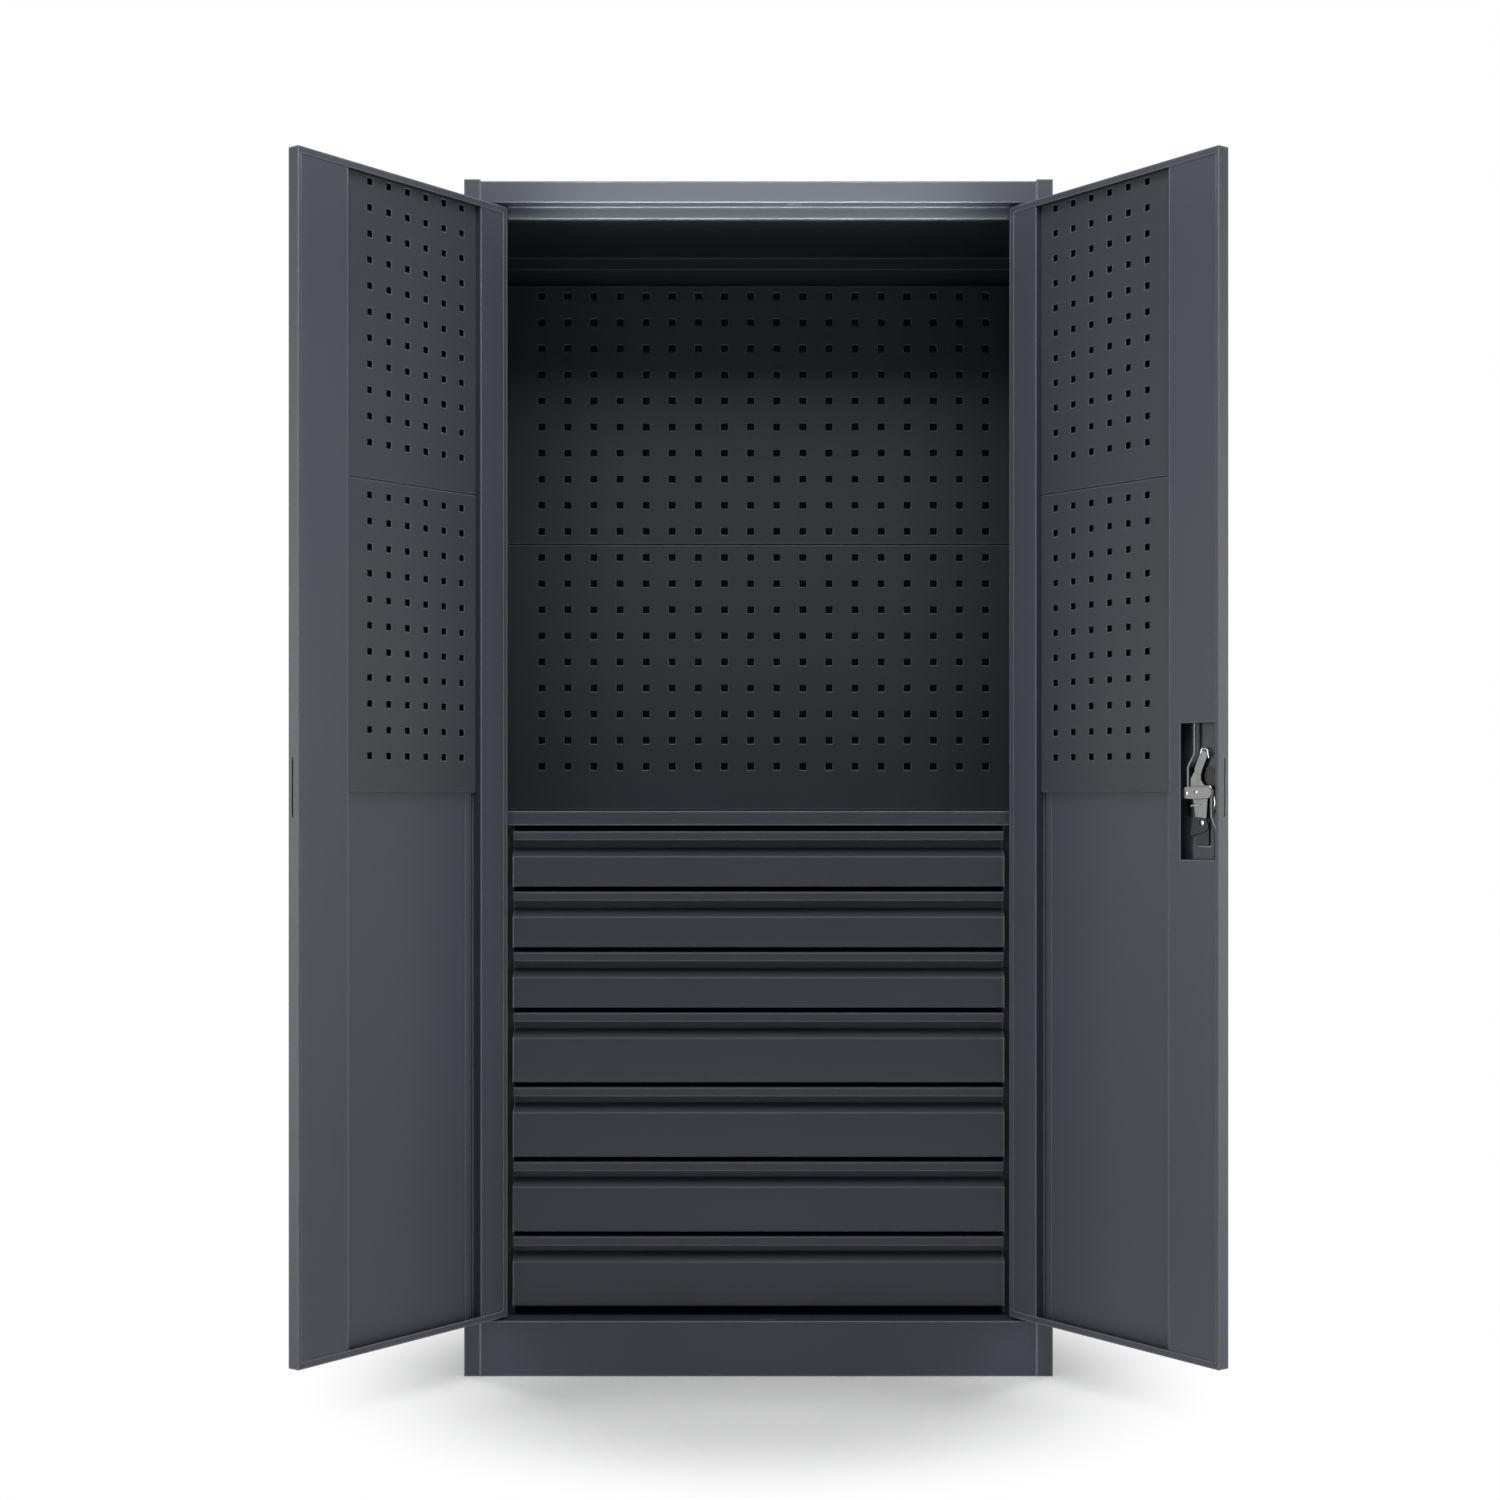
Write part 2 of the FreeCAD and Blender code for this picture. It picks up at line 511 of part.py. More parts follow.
def door(prefix, side):
    door_skin(f"{prefix}_door_skin", side)
    hinge = stile(f"{prefix}_door_hinge_stile", side, "sheet", "hinge_stile", "hinge_stile",
                  "(hinge_stile + stile_foot)", "(hinge_stile - sheet)", "hinge_stile")
    node(hang(hinge, side))
    free = stile(f"{prefix}_door_free_stile", side, FREE_STILE, f"({DOOR_WIDTH} - sheet)",
                 f"({FREE_STILE} - stile_foot)", FREE_STILE, FREE_STILE, f"({FREE_STILE} + sheet)")
    if side == RIGHT_DOOR:
        window = door_rectangle(side, f"{LOCK_ALONG} - window_near", "lock_height - window_drop",
                                f"{LOCK_ALONG} + window_far", "lock_height + window_rise")
        extrude(free, "Pocket", "XZ", f"{STILE_FACE} - sheet", STILE_FACE, [window])
    node(hang(free, side))
    head = f"({DOOR_HEAD} - peg_head_gap)"
    seam = f"({head} - peg_upper_height)"
    door_pegboard(f"{prefix}_door_pegboard_upper", side, seam, head)
    lower_head = f"({seam} - peg_gap)"
    door_pegboard(f"{prefix}_door_pegboard_lower", side, f"({lower_head} - peg_lower_height)", lower_head)
    hinge_bushes(f"{prefix}_door_bushes", side)


# Lock in the right door
def lock_x(offset="0"):
    return along(RIGHT_DOOR, f"({LOCK_ALONG} + {offset})")


def lock_housing():
    """Outer plate and a body through the skin, bored for the spindle and the key cylinder."""
    body = new_body("lock_housing")
    plate_head = "(lock_height + plate_rise)"
    extrude(body, "Pad", "XZ", PLATE_FACE, SKIN_FACE,
            [rectangle(lock_x("-plate_width/2"), f"{plate_head} - plate_height",
                       lock_x("plate_width/2"), plate_head)])
    extrude(body, "Pad", "XZ", SKIN_FACE, HOUSING_FACE,
            [rectangle(lock_x("-housing_width/2"), HOUSING_FOOT, lock_x("housing_width/2"), HOUSING_HEAD)])
    extrude(body, "Pocket", "XZ", PLATE_FACE, HOUSING_FACE,
            [("circle", lock_x(), "lock_height", "spindle + 2*spindle_play"),
             ("circle", lock_x(), KEY_HEIGHT, "barrel + 2*spindle_play")])
    return node(hang(body, RIGHT_DOOR))


def lock_handle():
    """Wing handle outside the door, its hub, and the spindle that carries the cam inside."""
    body = new_body("lock_handle")
    hub_back = f"({PLATE_FACE} - turn_gap)"
    extrude(body, "Pad", "XZ", f"{WING_BACK} - wing_thick", WING_BACK,
            [rectangle(lock_x("-wing_width/2"), "lock_height - wing_length/2",
                       lock_x("wing_width/2"), "lock_height + wing_length/2")])
    for low, high, size in ((WING_BACK, hub_back, "hub"), (hub_back, CAM_BACK, "spindle"),
                            (CAM_BACK, f"{CAM_FACE} + stub_reach", "stub")):
        extrude(body, "Pad", "XZ", low, high, [("circle", lock_x(), "lock_height", size)])
    return node(hang(body, RIGHT_DOOR))


def lock_cam():
    """Level arm with a rivet for each rod, and the latch tongue that turns towards the other door."""
    body = new_body("lock_cam")
    half = "cam_width/2"
    extrude(body, "Pad", "XZ", CAM_BACK, CAM_FACE,
            [rectangle(lock_x("-cam_arm"), f"lock_height - {half}",
                       lock_x("cam_arm"), f"lock_height + {half}")])
    for arm in ("-cam_arm", "cam_arm"):
        extrude(body, "Pad", "XZ", CAM_BACK, CAM_FACE, [("circle", lock_x(arm), "lock_height", "cam_width")])
    tip_x, tip_z = "tongue_length*sin(tongue_angle)", "tongue_length*cos(tongue_angle)"
    side_x, side_z = "tongue_width/2*cos(tongue_angle)", "tongue_width/2*sin(tongue_angle)"
    tongue = [(lock_x(f"-{side_x}"), f"lock_height + {side_z}"),
              (lock_x(f"{tip_x} - {side_x}"), f"lock_height + {tip_z} + {side_z}"),
              (lock_x(f"{tip_x} + {side_x}"), f"lock_height + {tip_z} - {side_z}"),
              (lock_x(side_x), f"lock_height - {side_z}")]
    extrude(body, "Pad", "XZ", CAM_BACK, CAM_FACE, [tongue])
    extrude(body, "Pocket", "XZ", CAM_BACK, CAM_FACE,
            [("circle", lock_x(), "lock_height", "stub + 2*spindle_play")])
    for arm in ("-cam_arm", "cam_arm"):
        head = f"{ROD_FACE} + turn_gap"
        extrude(body, "Pad", "XZ", CAM_FACE, head, [("circle", lock_x(arm), "lock_height", "rivet")])
        extrude(body, "Pad", "XZ", head, f"{head} + rivet_head_height",
                [("circle", lock_x(arm), "lock_height", "rivet_head")])
    return node(hang(body, RIGHT_DOOR))


def key_cylinder():
    """Key cylinder with its collar, key slot and inner arm."""
    body = new_body("key_cylinder")
    collar_back = f"({PLATE_FACE} - turn_gap)"
    collar_face = f"({collar_back} - barrel_proud)"
    extrude(body, "Pad", "XZ", collar_face, collar_back, [("circle", lock_x(), KEY_HEIGHT, "barrel_collar")])
    extrude(body, "Pad", "XZ", collar_back, KEY_ARM_BACK, [("circle", lock_x(), KEY_HEIGHT, "barrel")])
    extrude(body, "Pad", "XZ", KEY_ARM_BACK, f"{KEY_ARM_BACK} + key_arm_thick",
            [rectangle(lock_x("-key_arm/2"), f"{KEY_HEIGHT} - key_arm_length",
                       lock_x("key_arm/2"), f"{KEY_HEIGHT} + key_arm/2")])
    extrude(body, "Pocket", "XZ", collar_face, SKIN_FACE,
            [rectangle(lock_x("-key_slot/2"), f"{KEY_HEIGHT} - key_slot_length/2",
                       lock_x("key_slot/2"), f"{KEY_HEIGHT} + key_slot_length/2")])
    return node(hang(body, RIGHT_DOOR))


def lock_rod(label, pin, up, jog, end):
    """Flat rod pinned to the cam by an eye, jogged sideways, then straight to the door's end."""
    body = new_body(label)
    half = "rod_width/2"

    def at(offset):
        return along(RIGHT_DOOR, f"({pin} + {offset})")

    def level(rise):
        return f"lock_height + {up}*({rise})"

    outline = [
        (at(f"-{half}"), level("0")), (at(f"-{half}"), level("rod_jog_start")),
        (at(f"{jog} - {half}"), level("rod_jog_start + rod_jog_rise")), (at(f"{jog} - {half}"), end),
        (at(f"{jog} + {half}"), end), (at(f"{jog} + {half}"), level("rod_jog_start + rod_jog_rise")),
        (at(half), level("rod_jog_start")), (at(half), level("0")),
    ]
    extrude(body, "Pad", "XZ", ROD_BACK, ROD_FACE, [outline])
    extrude(body, "Pad", "XZ", ROD_BACK, ROD_FACE, [("circle", at("0"), "lock_height", "rod_eye")])
    extrude(body, "Pocket", "XZ", ROD_BACK, ROD_FACE,
            [("circle", at("0"), "lock_height", "rivet + 2*spindle_play")])
    return node(hang(body, RIGHT_DOOR))


def lock():
    lock_housing()
    lock_handle()
    lock_cam()
    key_cylinder()
    lock_rod("upper_lock_rod", UPPER_PIN, "1", "rod_jog", f"{DOOR_HEAD} + rod_proud")
    lock_rod("lower_lock_rod", LOWER_PIN, "-1", "rod_jog_low", f"{DOOR_FOOT} - rod_proud")


# Drawer unit
def drawer_cheek(label, side):
    """Upright sheet that carries the slides, with flanges out to the side panel."""
    body = new_body(label)
    face = f"{side}*{CHEEK}"
    back = f"{side}*({CHEEK} + sheet)"
    wall = f"{side}*{INNER}"
    front = f"({BOX_FRONT} + cheek_gap)"
    rear = f"({BACK_FACE} - cheek_rear_gap)"
    section = [(face, front), (wall, front), (wall, f"{front} + sheet"), (back, f"{front} + sheet"),
               (back, f"{rear} - sheet"), (wall, f"{rear} - sheet"), (wall, rear), (face, rear)]
    extrude(body, "Pad", "XY", "plinth", f"{UNIT_TOP} - sheet", [section])
    return node(body)


def unit_top():
    """Deck over the drawers with a hemmed front lip."""
    body = new_body("drawer_unit_top")
    section = [
        (DRAWER_FACE, UNIT_TOP), (BACK_FACE, UNIT_TOP), (BACK_FACE, f"{UNIT_TOP} - sheet"),
        (f"{DRAWER_FACE} + sheet", f"{UNIT_TOP} - sheet"), (f"{DRAWER_FACE} + sheet", f"{UNIT_FOOT} + sheet"),
        (f"{DRAWER_FACE} + hem", f"{UNIT_FOOT} + sheet"), (f"{DRAWER_FACE} + hem", UNIT_FOOT),
        (DRAWER_FACE, UNIT_FOOT),
    ]
    extrude(body, "Pad", "YZ", f"-{INNER}", INNER, [section])
    return node(body)


def drawer_front(label, foot, tall):
    """Folded front: flat face, bevel into a finger groove, top lip, and an end plate each side."""
    body = new_body(label)
    head = f"({foot} + {tall})"
    back = f"({DRAWER_FACE} + groove_depth)"
    bevel_foot = f"({head} - bevel_foot)"
    bevel_top = f"({head} - bevel_top)"
    drop = "(sheet*(hypot(groove_depth; bevel_foot - bevel_top) - (bevel_foot - bevel_top))/groove_depth)"
    inside = f"({DRAWER_FACE} + sheet)"
    section = [
        (DRAWER_FACE, foot), (DRAWER_FACE, bevel_foot), (back, bevel_top), (back, f"{head} - sheet"),
        (inside, f"{head} - sheet"), (inside, f"{head} - front_lip"), (DRAWER_FACE, f"{head} - front_lip"),
        (DRAWER_FACE, head), (BOX_FRONT, head), (BOX_FRONT, f"{bevel_top} - {drop}"),
        (inside, f"{bevel_foot} - {drop}"), (inside, f"{foot} + sheet"), (BOX_FRONT, f"{foot} + sheet"),
        (BOX_FRONT, foot),
    ]
    end_plate = [(DRAWER_FACE, foot), (DRAWER_FACE, bevel_foot), (back, bevel_top), (back, head),
                 (BOX_FRONT, head), (BOX_FRONT, foot)]
    extrude(body, "Pad", "YZ", f"-{CHEEK}", CHEEK, [section])
    extrude(body, "Pad", "YZ", f"-{CHEEK}", f"sheet - {CHEEK}", [end_plate])
    extrude(body, "Pad", "YZ", f"{CHEEK} - sheet", CHEEK, [end_plate])
    return node(body)


def drawer_box(label, foot, tall):
    """Open tray with hemmed side walls."""
    body = new_body(label)
    low = f"({foot} + box_rise)"
    high = f"({foot} + {tall} - box_drop)"
    inside_front, inside_back = f"{BOX_FRONT} + box_wall", f"{BOX_BACK} - box_wall"
    extrude(body, "Pad", "XY", low, high, [rectangle(f"-{BOX_HALF}", BOX_FRONT, BOX_HALF, BOX_BACK)])
    extrude(body, "Pocket", "XY", f"{low} + box_wall", high,
            [rectangle(f"box_wall - {BOX_HALF}", inside_front, f"{BOX_HALF} - box_wall", inside_back)])
    for side in ("-1", "1"):
        hem = rectangle(f"{side}*{BOX_HALF}", inside_front, f"{side}*({BOX_HALF} - box_hem)", inside_back)
        extrude(body, "Pad", "XY", f"{high} - box_wall", high, [hem])
    return node(body)


def channel(name, side, web, fold, tip, middle, tall):
    """One C-section slide channel: its web stands at web and its flanges fold over to tip."""
    body = new_body(name)
    turn = f"({web} + {fold}*slide_wall)"
    low, high = f"({middle} - ({tall})/2)", f"({middle} + ({tall})/2)"
    points = [(web, low), (tip, low), (tip, f"{low} + slide_wall"), (turn, f"{low} + slide_wall"),
              (turn, f"{high} - slide_wall"), (tip, f"{high} - slide_wall"), (tip, high), (web, high)]
    extrude(body, "Pad", "XZ", f"{BOX_FRONT} + slide_start", f"{BOX_BACK} - slide_end",
            [[(f"{side}*({x})", z) for x, z in points]])
    return body


def slides(index, middle):
    """Three nested channels on each side of a drawer; the cabinet's own are returned."""
    inset = "(2*(slide_wall + slide_play))"
    cabinet, middles, inner = [], [], []
    for side in ("-1", "1"):
        name = f"slide_{index}_{'left' if side == '-1' else 'right'}"
        cabinet.append(channel(f"{name}_cabinet", side, CHEEK, INWARD,
                               f"({BOX_HALF} + slide_wall)", middle, "slide_height"))
        middles.append(channel(f"{name}_middle", side, f"({CHEEK} - slide_wall - slide_play)", INWARD,
                               f"({BOX_HALF} + slide_wall + slide_play)", middle, f"slide_height - {inset}"))
        inner.append(channel(f"{name}_inner", side, BOX_HALF, OUTWARD,
                             f"({CHEEK} - 2*slide_wall - 2*slide_play)", middle, f"slide_height - 2*{inset}"))
    gather(f"drawer_{index}_middle_slides", middles)
    gather(f"drawer_{index}_slides", inner)
    return cabinet


def drawer_unit():
    drawer_cheek("drawer_unit_left_cheek", "-1")
    drawer_cheek("drawer_unit_right_cheek", "1")
    unit_top()
    cabinet = []
    head = STACK_HEAD
    for index in range(1, DRAWERS + 1):
        tall = "small_front" if index <= SMALL_DRAWERS else "large_front"
        foot = f"({head} - {tall})"
        drawer_front(f"drawer_{index}_front", foot, tall)
        drawer_box(f"drawer_{index}_box", foot, tall)
        cabinet += slides(index, f"({foot} + (box_rise + {tall} - box_drop)/2)")
        head = f"({foot} - front_gap)"
    gather("cabinet_slides", cabinet)


carcass()
hinge_pins()
door("left", LEFT_DOOR)
door("right", RIGHT_DOOR)
lock()
drawer_unit()
doc.recompute()

# Checks, then one file for each sub-part
failed = [thing.Label for thing in doc.Objects if {"Invalid", "Error"} & set(thing.State)]
if failed:
    raise RuntimeError(f"failed objects: {failed}")
for part in nodes:
    if part.Shape.isNull() or not part.Shape.isValid():
        raise RuntimeError(f"bad shape: {part.Label}")
os.makedirs("parts", exist_ok=True)
for part in nodes:
    part.Shape.exportStep(f"parts/{part.Label}.step")
print(f"{len(nodes)} sub-parts written")
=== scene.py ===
import json
import math

import bmesh
import bpy
from mathutils import Matrix, Vector


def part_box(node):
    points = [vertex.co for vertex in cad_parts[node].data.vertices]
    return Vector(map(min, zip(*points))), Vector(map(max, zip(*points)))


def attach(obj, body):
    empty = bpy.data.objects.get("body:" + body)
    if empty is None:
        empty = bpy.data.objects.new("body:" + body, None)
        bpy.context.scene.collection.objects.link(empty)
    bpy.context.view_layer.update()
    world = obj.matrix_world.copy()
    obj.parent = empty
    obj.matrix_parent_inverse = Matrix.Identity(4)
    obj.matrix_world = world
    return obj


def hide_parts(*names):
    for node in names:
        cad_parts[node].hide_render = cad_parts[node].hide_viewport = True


# A tall steel tool cabinet with both doors open.
# Metres; the origin is on the floor, at the middle of the front.

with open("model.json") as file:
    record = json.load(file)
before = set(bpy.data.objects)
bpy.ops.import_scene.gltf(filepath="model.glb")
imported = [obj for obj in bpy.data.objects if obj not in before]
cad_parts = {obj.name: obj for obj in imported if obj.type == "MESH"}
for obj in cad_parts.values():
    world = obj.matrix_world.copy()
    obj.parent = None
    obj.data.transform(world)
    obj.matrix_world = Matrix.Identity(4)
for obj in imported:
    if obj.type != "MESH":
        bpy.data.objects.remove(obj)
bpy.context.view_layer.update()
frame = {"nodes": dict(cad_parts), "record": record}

MM = 0.001
DRAWERS = range(1, 8)


# Materials
def linear(code):
    """An sRGB hex colour as linear red, green, blue and alpha."""
    channels = [int(code[i:i + 2], 16) / 255 for i in (1, 3, 5)]
    return [c / 12.92 if c <= 0.04045 else ((c + 0.055) / 1.055) ** 2.4 for c in channels] + [1.0]


def add(tree, kind, settings, inputs):
    """A node with its settings; each input is a value, or the socket that it is linked to."""
    made = tree.nodes.new(kind)
    for name, value in settings.items():
        setattr(made, name, value)
    for name, value in inputs.items():
        if isinstance(value, bpy.types.NodeSocket):
            tree.links.new(value, made.inputs[name])
        else:
            made.inputs[name].default_value = value
    return made


def new_material(name, **constants):
    """A material, its tree and its shader, with constant values on the shader's own sockets."""
    material = bpy.data.materials.new(name)
    material.use_nodes = True
    tree = material.node_tree
    shader = tree.nodes["Principled BSDF"]
    for socket, value in constants.items():
        shader.inputs[socket].default_value = value
    return material, tree, shader


def finish_surface(tree, shader, colour, gloss, normal):
    """Link a finish's colour, roughness and normal to its shader."""
    tree.links.new(colour, shader.inputs["Base Color"])
    tree.links.new(gloss, shader.inputs["Roughness"])
    tree.links.new(normal, shader.inputs["Normal"])


# The coat's real grain is about 1.2 mm across; it is drawn at 3 mm so that it still shows.
COAT_GRAIN = 3 * MM
COAT_GRAIN_HEIGHT = 0.4 * MM
COAT_GLOSS = (0.40, 0.54)
DRIFTS_PER_METRE = 2.2
FOLD_RADIUS = 3.2 * MM
# The paler fold colour is a painted highlight along the rounded edges; this is its greatest share.
FOLD_HIGHLIGHT_SHARE = 0.85
# Cosines of how far the surface has turned where the painted fold highlight begins and where it is complete
FOLD_HIGHLIGHT_BEGINS = 0.995
FOLD_HIGHLIGHT_COMPLETE = 0.80


def powder_coat(name, dark, light, fold_highlight_tone):
    """Anthracite powder coat: a soft satin grain, slow drifts of tone, and a painted highlight that makes
    the rounded folds paler.
    """
    material, tree, shader = new_material(name)
    place = add(tree, "ShaderNodeTexCoord", {}, {}).outputs["Object"]
    drift = add(tree, "ShaderNodeTexNoise", {},
                {"Vector": place, "Scale": DRIFTS_PER_METRE, "Detail": 2.0})
    tone = add(tree, "ShaderNodeMix", {"data_type": "RGBA"},
               {0: drift.outputs["Fac"], 6: linear(dark), 7: linear(light)})
    fold = add(tree, "ShaderNodeBevel", {"samples": 6}, {"Radius": FOLD_RADIUS})
    face = add(tree, "ShaderNodeNewGeometry", {}, {})
    turn = add(tree, "ShaderNodeVectorMath", {"operation": "DOT_PRODUCT"},
               {0: fold.outputs["Normal"], 1: face.outputs["Normal"]})
    # edge is the share of painted fold highlight, growing where the rounded shading normal turns away from
    # the face.
    edge = add(tree, "ShaderNodeMapRange", {},
               {"Value": turn.outputs["Value"], "From Min": FOLD_HIGHLIGHT_BEGINS, "From Max": FOLD_HIGHLIGHT_COMPLETE,
                "To Max": FOLD_HIGHLIGHT_SHARE})
    # Painted highlight: the pale fold tone is mixed over the coat along rounded edges.
    colour = add(tree, "ShaderNodeMix", {"data_type": "RGBA"},
                 {0: edge.outputs["Result"], 6: tone.outputs[2], 7: linear(fold_highlight_tone)})
    grain = add(tree, "ShaderNodeTexNoise", {},
                {"Vector": place, "Scale": 1 / COAT_GRAIN, "Detail": 3.0})
    bump = add(tree, "ShaderNodeBump", {},
               {"Height": grain.outputs["Fac"], "Normal": fold.outputs["Normal"], "Strength": 0.10,
                "Distance": COAT_GRAIN_HEIGHT})
    gloss = add(tree, "ShaderNodeMapRange", {},
                {"Value": grain.outputs["Fac"], "To Min": COAT_GLOSS[0], "To Max": COAT_GLOSS[1]})
    finish_surface(tree, shader, colour.outputs[2], gloss.outputs["Result"], bump.outputs["Normal"])
    return material


FINE_RELIEF = 0.1 * MM
STEEL_RIM = 0.5 * MM


def plated_steel(name, dark, light, rough, stretch, patch=9 * MM):
    """Plated steel: fine drawing lines along the longer axis and cloudy patches in the plating."""
    material, tree, shader = new_material(name, Metallic=1.0)
    place = add(tree, "ShaderNodeTexCoord", {}, {}).outputs["Object"]
    drawn = add(tree, "ShaderNodeVectorMath", {"operation": "MULTIPLY"}, {0: place, 1: stretch})
    lines = add(tree, "ShaderNodeTexNoise", {},
                {"Vector": drawn.outputs["Vector"], "Scale": 1.0, "Detail": 4.0})
    cloud = add(tree, "ShaderNodeTexNoise", {}, {"Vector": place, "Scale": 1 / patch, "Detail": 3.0})
    mixed = add(tree, "ShaderNodeMix", {}, {0: 0.5, 2: lines.outputs["Fac"], 3: cloud.outputs["Fac"]})
    tone = add(tree, "ShaderNodeMix", {"data_type": "RGBA"},
               {0: mixed.outputs[0], 6: linear(dark), 7: linear(light)})
    gloss = add(tree, "ShaderNodeMapRange", {},
                {"Value": mixed.outputs[0], "To Min": rough - 0.08, "To Max": rough + 0.10})
    fold = add(tree, "ShaderNodeBevel", {"samples": 4}, {"Radius": STEEL_RIM})
    bump = add(tree, "ShaderNodeBump", {},
               {"Height": lines.outputs["Fac"], "Normal": fold.outputs["Normal"], "Strength": 0.12,
                "Distance": FINE_RELIEF})
    finish_surface(tree, shader, tone.outputs[2], gloss.outputs["Result"], bump.outputs["Normal"])
    return material


def black_coat(name, dark, light, rough, grain_size):
    """Black moulded or coated surface with a fine cast grain."""
    material, tree, shader = new_material(name)
    place = add(tree, "ShaderNodeTexCoord", {}, {}).outputs["Object"]
    grain = add(tree, "ShaderNodeTexNoise", {}, {"Vector": place, "Scale": 1 / grain_size, "Detail": 3.0})
    tone = add(tree, "ShaderNodeMix", {"data_type": "RGBA"},
               {0: grain.outputs["Fac"], 6: linear(dark), 7: linear(light)})
    gloss = add(tree, "ShaderNodeMapRange", {},
                {"Value": grain.outputs["Fac"], "To Min": rough - 0.06, "To Max": rough + 0.06})
    bump = add(tree, "ShaderNodeBump", {},
               {"Height": grain.outputs["Fac"], "Strength": 0.15, "Distance": FINE_RELIEF})
    finish_surface(tree, shader, tone.outputs[2], gloss.outputs["Result"], bump.outputs["Normal"])
    return material


# Drawing lines 2 mm apart, and long along the direction in which the steel was drawn
LINES_PER_METRE = 1 / (2 * MM)
ALONG_Y = (LINES_PER_METRE, 6.0, LINES_PER_METRE)
ALONG_Z = (LINES_PER_METRE, LINES_PER_METRE, 8.0)
# The last colour given to each powder coat is its painted fold highlight.
coats = {
    "powder_coat": powder_coat("powder_coat", "#33373e", "#3b3f47", "#8d9199"),
    "slide_steel": plated_steel("slide_steel", "#8e9194", "#b5b7b8", 0.34, ALONG_Y),
    "pin_steel": plated_steel("pin_steel", "#9a9c9e", "#bfc0c1", 0.28, ALONG_Z),
    "screw_steel": plated_steel("screw_steel", "#8a8c8e", "#b0b1b2", 0.36, ALONG_Z),
    "lock_zinc": plated_steel("lock_zinc", "#4c4d4f", "#a9aaa8", 0.48, ALONG_Z, patch=1.8 * MM),
    "key_nickel": plated_steel("key_nickel", "#a8a59e", "#cbc8c0", 0.22, ALONG_Z),
    "nylon": black_coat("nylon", "#141415", "#1d1d1f", 0.50, 0.8 * MM),
    "lock_black": black_coat("lock_black", "#121214", "#1b1b1e", 0.38, 1.0 * MM),
}
rod_zinc = plated_steel("rod_zinc", "#3c3e41", "#6e7072", 0.40, ALONG_Z)
# Bright plated wire and rivets; on the thumb's rim this bright colour is a painted highlight of a lit edge.
bright_wire_and_rim_highlight = plated_steel("bright_wire_and_rim_highlight", "#c4c5c5", "#e8e8e6", 0.30, ALONG_Z)

# The doors' perforated panels are a shade darker than the rest.
panel_coat = powder_coat("panel_coat", "#292c32", "#2f3239", "#73777f")

for subpart in frame["record"]["subparts"]:
    shown = frame["nodes"][subpart["node"]]
    coat = panel_coat if "door_pegboard" in subpart["node"] else coats[subpart["material_slot"]]
    for material_slot in shown.material_slots:
        material_slot.material = coat


# Folded sheet pieces with round bends
def rounded(corners, radius, steps=5):
    """The path through these corners with each bend drawn as an arc."""
    points = [Vector(corners[0])]
    for before, corner, after in zip(corners, corners[1:], corners[2:]):
        corner = Vector(corner)
        entry = (Vector(before) - corner).normalized()
        leave = (Vector(after) - corner).normalized()
        half_angle = entry.angle(leave) / 2
        reach = radius / math.tan(half_angle)
        centre = corner + (entry + leave).normalized() * radius / math.sin(half_angle)
        start = corner + entry * reach - centre
        end = corner + leave * reach - centre
        for step in range(steps + 1):
            share = step / steps
            points.append(centre + (start * (1 - share) + end * share).normalized() * radius)
    points.append(Vector(corners[-1]))
    return points


def left_of(line, i):
    """The unit vector square to a path at one of its points."""
    way = (line[min(i + 1, len(line) - 1)] - line[max(i - 1, 0)]).normalized()
    return Vector((-way.y, way.x))


def sheet_section(corners, radius, thick):
    """The closed outline of a bent sheet whose middle line runs through the corners."""
    line = rounded(corners, radius)
    sides = ([], [])
    for i, point in enumerate(line):
        offset = left_of(line, i) * thick / 2
        sides[0].append(point + offset)
        sides[1].append(point - offset)
    return sides[0] + sides[1][::-1]


def across(u, v, h):
    """Sections drawn in Y and Z, extruded along X."""
    return Vector((h, u, v))


def lofted(rings, shape, place):
    """Add to the mesh a closed solid through these rings of (u, v, h) points."""
    made = [[shape.verts.new(place(*point)) for point in ring] for ring in rings]
    shape.faces.new(made[0])
    shape.faces.new(made[-1][::-1])
    for low, high in zip(made, made[1:]):
        for i in range(len(low)):
            j = (i + 1) % len(low)
            shape.faces.new((low[j], low[i], high[i], high[j]))


def extruded(outline, low, high, shape, place=across):
    """Add to the mesh the solid with this (u, v) outline, from low to high."""
    lofted([[(u, v, h) for u, v in outline] for h in (low, high)], shape, place)


SHARP_ANGLE = math.radians(32)


def piece(name, shape, coat, body, slot, *stands_for):
    """A finished mesh piece that rides on a body and may stand for CAD nodes."""
    mesh = bpy.data.meshes.new(name)
    bmesh.ops.recalc_face_normals(shape, faces=shape.faces)
    shape.to_mesh(mesh)
    shape.free()
    mesh.shade_smooth()
    mesh.set_sharp_from_angle(angle=SHARP_ANGLE)
    mesh.materials.append(coat)
    made = bpy.data.objects.new(name, mesh)
    bpy.context.collection.objects.link(made)
    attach(made, body)
    if stands_for:
        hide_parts(*stands_for)


SHEET = 1 * MM
BEND = 2.2 * MM
LIP = 14 * MM
BEVEL_TOP = 26 * MM
BEVEL_FOOT = 40 * MM
GROOVE = 22 * MM
PLATE_CORNER = 0.4 * MM


